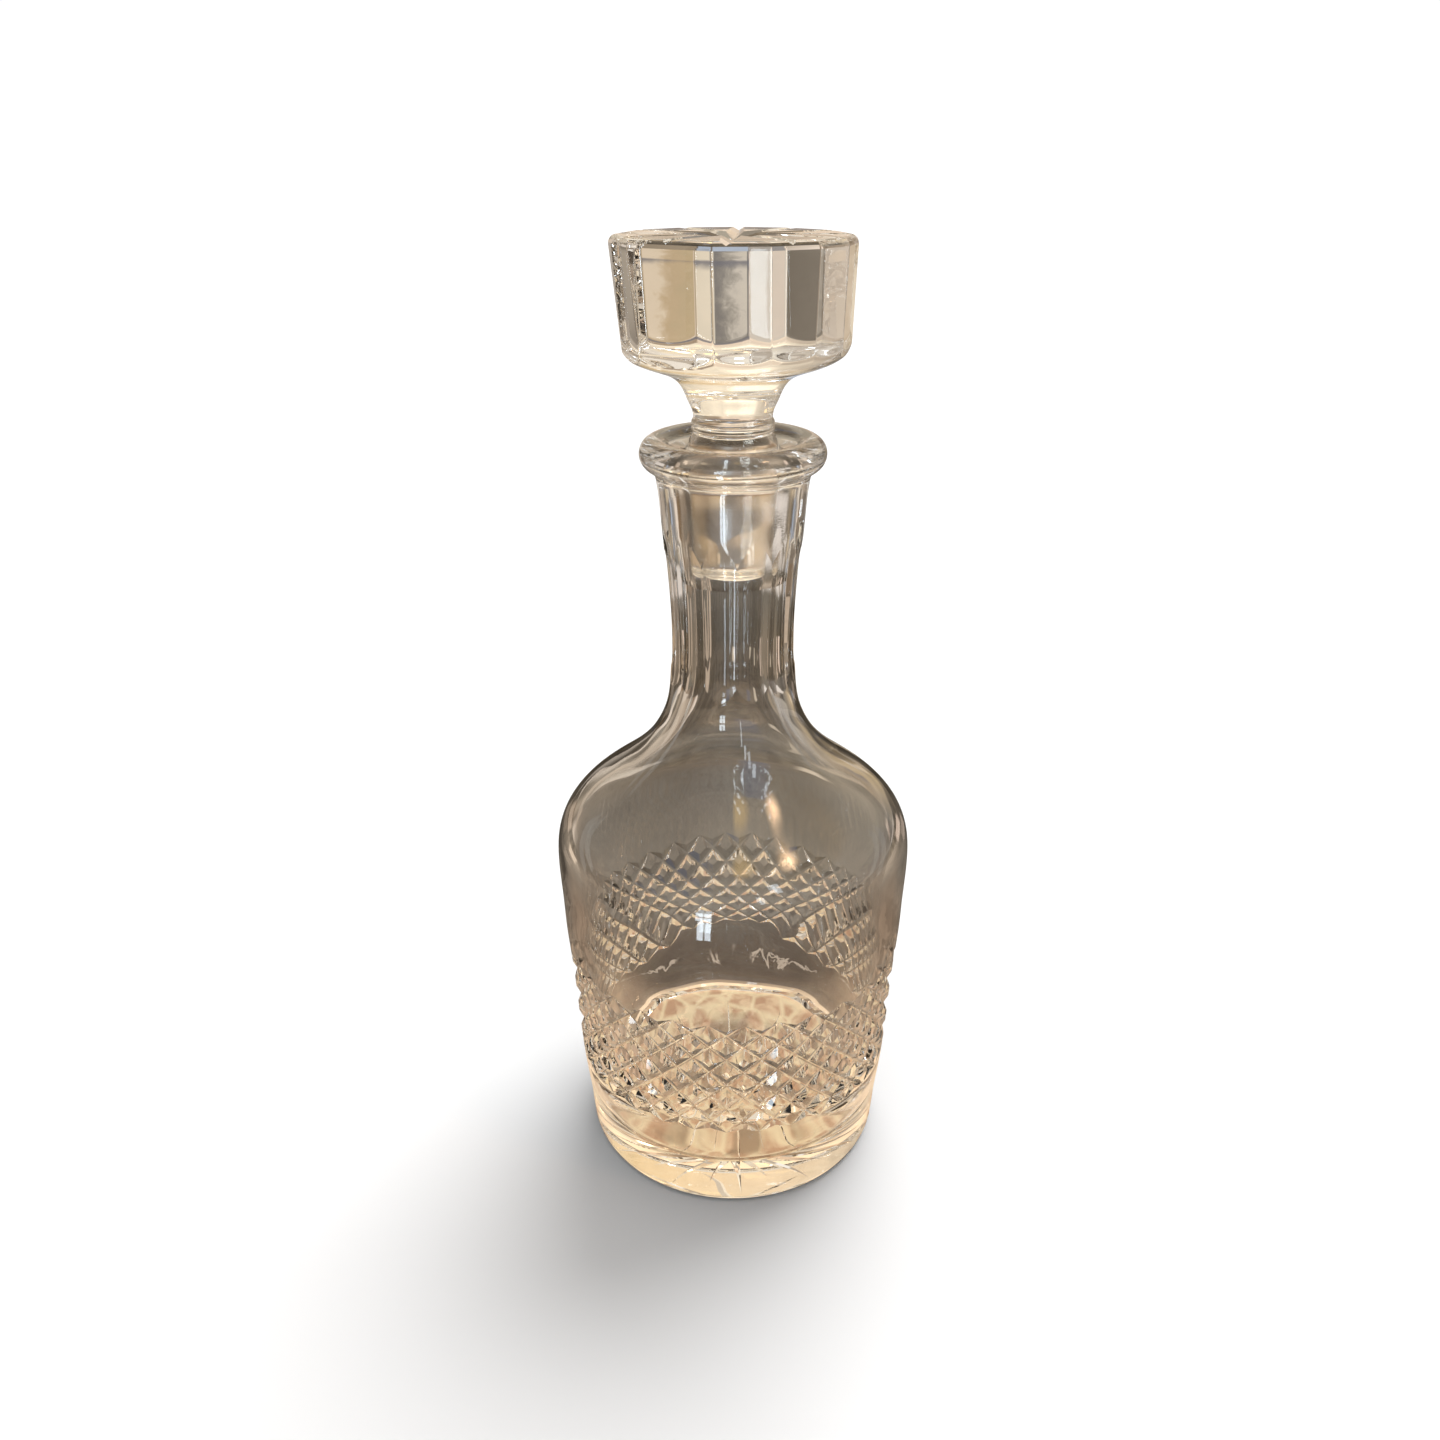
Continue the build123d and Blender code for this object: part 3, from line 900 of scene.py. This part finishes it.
# painted light: the table just outside the foot is made brighter on the side behind the decanter
col = w.times(col, w.m("ADD", 1.0, w.m("MULTIPLY", w.m("MULTIPLY", w.step(rr, 46.0, 49.0), w.step(rr, 58.0, 55.0)), w.m("MULTIPLY", w.step(cosa, 0.5, 0.8), 0.40))))
cool = w.m("MULTIPLY", w.box(fa, rr, 1.5, 6.5, 205.0, 340.0, 1.2), 0.85)
col = w.mix(cool, col, srgb(70, 76, 90))
wob = w.m("ADD", rr, w.m("MULTIPLY", w.noise(geo.outputs["Position"], 170.0, 3.0, 0.6, 1.5), 9.0))
thread = w.m("MULTIPLY", w.step(w.m("ABSOLUTE", w.m("SUBTRACT", wob, 83.3)), 0.75, 0.30), w.step(w.noise(geo.outputs["Position"], 55.0, 2.0, 0.5), 0.44, 0.50))
col = w.mix(w.m("MULTIPLY", w.m("MULTIPLY", thread, w.step(cosa, 0.55, 0.8)), 0.75), col, srgb(214, 196, 176))
# painted shade: a thin dark ring on the table under the foot's rim, on the front side
turn = w.m("MULTIPLY", w.m("MULTIPLY", w.step(rr, 41.2, 42.4), w.step(rr, 45.6, 44.4)), w.step(cosa, -0.05, -0.35))
col = w.mix(w.m("MULTIPLY", turn, 0.6), col, srgb(112, 84, 58))
em = node(nt, "ShaderNodeEmission")
# painted uneven light multiplies the table's tones
lit = w.times(col, painted_uneven_light)
# the window's light lying on the table in front
for a0, a1 in ((-167.6, -164.2), (-163.4, -160.0)):
    lit = w.mix(w.box(fa, rr, a0, a1, 215.0, 640.0, 0.3), lit, (10.4, 11.8, 13.0, 1.0))
nt.links.new(lit, em.inputs["Color"])
clear = node(nt, "ShaderNodeBsdfTransparent")
seen = node(nt, "ShaderNodeMixShader")
nt.links.new(w.step(rr, FLOOR_R * 960, FLOOR_R * 1040), seen.inputs["Fac"])
nt.links.new(em.outputs["Emission"], seen.inputs[1])
nt.links.new(clear.outputs["BSDF"], seen.inputs[2])
mix = node(nt, "ShaderNodeMixShader")
nt.links.new(lp.outputs["Is Camera Ray"], mix.inputs["Fac"])
nt.links.new(seen.outputs["Shader"], mix.inputs[1])
nt.links.new(dif.outputs["BSDF"], mix.inputs[2])
nt.links.new(mix.outputs["Shader"], out.inputs["Surface"])
fl.materials.append(fm)

# The room that the glass sees: azimuth 0 is behind the decanter, +90 to its right.
world = bpy.data.worlds.new("studio")
scene.world = world
world.use_nodes = True
nt = world.node_tree
nt.nodes.clear()
w = Web(nt)
out = node(nt, "ShaderNodeOutputWorld")
lp = node(nt, "ShaderNodeLightPath")
tc = node(nt, "ShaderNodeTexCoord")
sep = node(nt, "ShaderNodeSeparateXYZ")
nt.links.new(tc.outputs["Generated"], sep.inputs["Vector"])
az = w.m("MULTIPLY", w.m("ARCTAN2", sep.outputs["X"], sep.outputs["Y"]), 180 / PI)
el = w.m("MULTIPLY", w.m("ARCSINE", sep.outputs["Z"]), 180 / PI)
az_c, el_c = az, el
# soften straight edges a little
az = w.m("ADD", az, w.m("MULTIPLY", w.m("SUBTRACT", w.noise(tc.outputs["Generated"], 9.0, 4.0, 0.62), 0.5), 2.2))
el = w.m("ADD", el, w.m("MULTIPLY", w.m("SUBTRACT", w.noise(tc.outputs["Generated"], 7.0, 3.0, 0.6), 0.5), 1.4))

# back wall and what stands along it, from left to right
wall = w.ramp(az, -180, 180, [
    (-180, (222, 206, 188)), (-130, (236, 218, 196)), (-108, (178, 160, 140)), (-98, (104, 92, 80)), (-66, (96, 84, 72)),
    (-60, (132, 114, 96)), (-46, (150, 132, 113)), (-40, (112, 90, 66)), (-31, (134, 108, 82)), (-29, (190, 176, 160)),
    (-26, (240, 222, 206)), (-19, (232, 214, 196)), (-16, (184, 172, 159)), (-10, (142, 138, 136)), (-6.5, (136, 134, 134)),
    (0.5, (150, 148, 150)), (1.2, (176, 186, 202)), (6.2, (168, 180, 198)), (7.2, (130, 126, 126)), (11.5, (108, 104, 102)),
    (14, (92, 82, 72)), (17, (132, 116, 96)), (27, (154, 138, 116)), (30, (122, 110, 96)), (38, (150, 138, 122)),
    (44, (190, 178, 164)), (62, (216, 206, 194)), (118, (196, 184, 172)), (150, (216, 200, 184)), (180, (222, 206, 188))])
low_right = w.mix(w.m("MULTIPLY", w.step(el, -8.0, -11.0), w.m("MULTIPLY", w.step(az, 32, 42), w.step(az, 120, 90))), wall, srgb(224, 213, 203))
skirt = w.ramp(az, -180, 180, [
    (-180, (205, 197, 190)), (-120, (170, 158, 146)), (-100, (106, 98, 92)), (-62, (112, 98, 84)), (-54, (198, 180, 162)),
    (-47, (190, 176, 160)), (-43, (108, 92, 70)), (-38, (148, 132, 114)), (-26, (120, 110, 98)), (-22, (226, 208, 190)),
    (-13, (230, 214, 197)), (-8, (196, 184, 172)), (2, (180, 170, 157)), (9, (146, 132, 120)), (12, (92, 78, 64)),
    (16, (112, 96, 80)), (20, (205, 184, 150)), (28, (190, 172, 146)), (34, (144, 130, 112)), (42, (120, 114, 104)),
    (46, (80, 75, 70)), (54, (88, 80, 72)), (60, (148, 134, 118)), (85, (192, 176, 162)), (180, (205, 197, 190))])
fine = w.noise(tc.outputs["Generated"], 95.0, 4.0, 0.66, 0.5)
az_f = w.m("ADD", az_c, w.m("MULTIPLY", w.m("SUBTRACT", fine, 0.5), 1.9))
el_f = w.m("ADD", el_c, w.m("MULTIPLY", w.m("SUBTRACT", w.noise(tc.outputs["Generated"], 60.0, 3.0, 0.6), 0.5), 0.4))
panels = w.ramp(az_f, -60, 30, [
    (-60, (206, 190, 172)), (-46, (206, 190, 172)), (-41, (112, 100, 86)), (-37, (150, 134, 116)), (-33, (170, 154, 134)),
    (-29, (104, 94, 80)), (-25, (126, 116, 102)), (-21, (238, 224, 206)), (-14.6, (250, 238, 220)), (-13.6, (206, 195, 180)),
    (-10.6, (206, 194, 178)), (-8, (218, 200, 182)), (0, (130, 124, 120)), (3.1, (124, 118, 112)), (3.5, (152, 144, 132)),
    (4.0, (206, 195, 180)), (5.5, (218, 206, 184)), (7.5, (228, 212, 188)), (14, (160, 140, 112)), (21, (226, 206, 180)),
    (22.0, (224, 204, 176)), (22.4, (196, 170, 134)), (23.4, (190, 168, 132)), (30, (184, 164, 138))])
upper = w.ramp(az, -180, 180, [
    (-180, (186, 182, 178)), (-120, (160, 148, 136)), (-75, (150, 132, 114)), (-50, (190, 172, 152)), (-40, (190, 175, 157)),
    (-26, (196, 178, 156)), (-20, (240, 220, 196)), (10, (238, 214, 188)), (15, (170, 146, 122)), (34, (158, 142, 122)),
    (44, (176, 166, 152)), (58, (158, 150, 142)), (75, (190, 180, 170)), (110, (216, 204, 190)), (180, (186, 182, 178))])
ceiling = w.ramp(az, -180, 180, [
    (-180, (232, 226, 216)), (-140, (226, 218, 206)), (-105, (196, 184, 168)), (-60, (190, 177, 160)), (-38, (212, 196, 174)),
    (-15, (255, 240, 214)), (30, (255, 238, 210)), (90, (242, 228, 206)), (135, (240, 230, 216)), (180, (232, 226, 216))])
lights = w.ramp(az, -180, 180, [
    (-180, (240, 232, 216)), (-150, (214, 204, 190)), (-110, (172, 160, 145)), (-70, (205, 190, 168)), (-40, (244, 220, 186)),
    (-10, (253, 224, 184)), (45, (255, 222, 170)), (90, (226, 206, 174)), (130, (252, 234, 204)), (180, (240, 232, 216))])
col = low_right
col = w.mix(w.step(el, -9.4, -8.0), col, skirt)
col = w.mix(w.m("MULTIPLY", w.step(el, -9.4, -8.0), w.m("MULTIPLY", w.step(az_c, -58.0, -54.0), w.step(az_c, 30.0, 27.0))), col, panels)
col = w.mix(w.step(el, -2.4, -0.8), col, upper)
brow = w.m("SUBTRACT", el_f, w.m("MULTIPLY", az_c, 0.032))
shade = w.m("MULTIPLY", w.step(brow, -3.45, -3.1), w.m("MULTIPLY", w.step(az_c, -8.0, -4.0), w.step(az_c, 30.0, 26.0)))
shade = w.m("MULTIPLY", shade, w.step(el_c, 1.5, 0.3))
col = w.mix(w.m("MULTIPLY", shade, 0.85), col, srgb(108, 106, 112))
col = w.mix(w.step(el, 8.0, 13.0), col, ceiling)
col = w.mix(w.step(el, 33.0, 42.0), col, lights)
col = w.mix(w.step(el, 60.0, 76.0), col, srgb(234, 222, 200))
col = w.times(col, w.m("ADD", 1.0, w.m("MULTIPLY", w.box(az_c, el_c, -24.0, 8.0, 20.0, 34.0, 3.0), 0.5)))
mottle = w.m("ADD", 0.70, w.m("MULTIPLY", w.noise(tc.outputs["Generated"], 5.5, 5.0, 0.62), 0.62))
col = w.times(col, mottle)
# windows and a lamp, small and bright: they give the white and blue flashes on the cut facets
for a0, a1, e0, e1, soft, tone, power in (
        (-166.9, -162.8, -9.0, -2.4, 0.35, (0.80, 0.91, 1.0), 13.0),
        (-162.0, -157.9, -9.0, -2.4, 0.35, (0.80, 0.91, 1.0), 13.0),
        (-166.9, -162.8, -1.2, 5.4, 0.35, (0.80, 0.91, 1.0), 13.0),
        (-162.0, -157.9, -1.2, 5.4, 0.35, (0.80, 0.91, 1.0), 13.0),
        (146.0, 151.0, 34.0, 46.0, 0.6, (0.88, 0.95, 1.0), 7.0),
        (160.0, 163.0, 20.0, 31.0, 0.5, (0.88, 0.95, 1.0), 7.0)):
    pane = w.box(az_c, el_c, a0, a1, e0, e1, soft)
    col = w.mix(pane, col, (tone[0] * power, tone[1] * power, tone[2] * power, 1.0))
# two pale upright strips, one at each side, leaning away from the decanter
for side, a0 in ((-1.0, -68.0), (1.0, 68.5)):
    lean = w.m("SUBTRACT", w.m("SUBTRACT", el, 5.5), w.m("MULTIPLY", w.m("SUBTRACT", az, a0), -1.07 * side))
    strip = w.m("MULTIPLY", w.box(az, lean, a0 - 11.0, a0 + 14.0, -4.2, 4.2, 1.1), 1.0)
    col = w.mix(w.m("MULTIPLY", strip, 0.9), col, (1.05, 1.0, 0.92, 1.0))
# a warm lamp with an oval shade, high on the right
lp_x = w.m("SUBTRACT", az_c, 118.5)
lp_y = w.m("SUBTRACT", el_c, 58.4)
ox = w.m("ADD", w.m("MULTIPLY", lp_x, -0.751), w.m("MULTIPLY", lp_y, -1.248))
oy = w.m("ADD", w.m("MULTIPLY", lp_x, 0.465), w.m("MULTIPLY", lp_y, -0.923))
glow = w.step(w.m("SQRT", w.m("ADD", w.m("MULTIPLY", ox, ox), w.m("MULTIPLY", oy, oy))), 13.0, 0.0)
col = w.mix(w.m("POWER", glow, 2.0), col, (19.0, 12.5, 7.4, 1.0))
# a smaller one, high at the front
sp = w.m("ADD", w.m("POWER", w.m("MULTIPLY", w.m("SUBTRACT", az_c, 171.0), 0.41), 2.0), w.m("POWER", w.m("SUBTRACT", el_c, 66.0), 2.0))
col = w.mix(w.step(w.m("SQRT", sp), 9.5, 3.0), col, (2.8, 1.95, 0.85, 1.0))
room = node(nt, "ShaderNodeBackground")
nt.links.new(col, room.inputs["Color"])
amb = node(nt, "ShaderNodeBackground")
amb.inputs["Color"].default_value = (0.62, 0.62, 0.62, 1)
cam = node(nt, "ShaderNodeBackground")
cam.inputs["Color"].default_value = (1, 1, 1, 1)
cam.inputs["Strength"].default_value = 1.02
m1 = node(nt, "ShaderNodeMixShader")
m2 = node(nt, "ShaderNodeMixShader")
nt.links.new(lp.outputs["Is Diffuse Ray"], m1.inputs["Fac"])
nt.links.new(room.outputs["Background"], m1.inputs[1])
nt.links.new(amb.outputs["Background"], m1.inputs[2])
nt.links.new(lp.outputs["Is Camera Ray"], m2.inputs["Fac"])
nt.links.new(m1.outputs["Shader"], m2.inputs[1])
nt.links.new(cam.outputs["Background"], m2.inputs[2])
nt.links.new(m2.outputs["Shader"], out.inputs["Surface"])

sun = bpy.data.lights.new("key", "SUN")
sun.energy = 2.8
sun.angle = math.radians(50)
sun.color = (1, 1, 1)
so = bpy.data.objects.new("key", sun)
scene.collection.objects.link(so)
d = Vector((-0.30, -0.55, -0.80))
so.rotation_euler = d.to_track_quat("-Z", "Y").to_euler()
so.visible_glossy = False
so.visible_transmission = False

cam_d = bpy.data.cameras.new("camera")
cam_d.sensor_width = 36.0
cam_d.sensor_fit = "HORIZONTAL"
cam_d.lens = 1180.4 / 1440.0 * 36.0
cam_d.shift_x = -13.0 / 1440.0
cam_d.clip_start = 0.01
cam_o = bpy.data.objects.new("camera", cam_d)
scene.collection.objects.link(cam_o)
cam_o.location = (0.0, -0.3173, 0.29804)
cam_o.rotation_euler = (PI / 2 - 0.4479, 0.0, 0.0)
scene.camera = cam_o

scene.view_settings.view_transform = "Standard"
scene.view_settings.look = "None"
scene.cycles.max_bounces = 24
scene.cycles.transmission_bounces = 24
scene.cycles.glossy_bounces = 12
scene.cycles.caustics_reflective = False
scene.cycles.caustics_refractive = False
scene.cycles.sample_clamp_indirect = 6.0
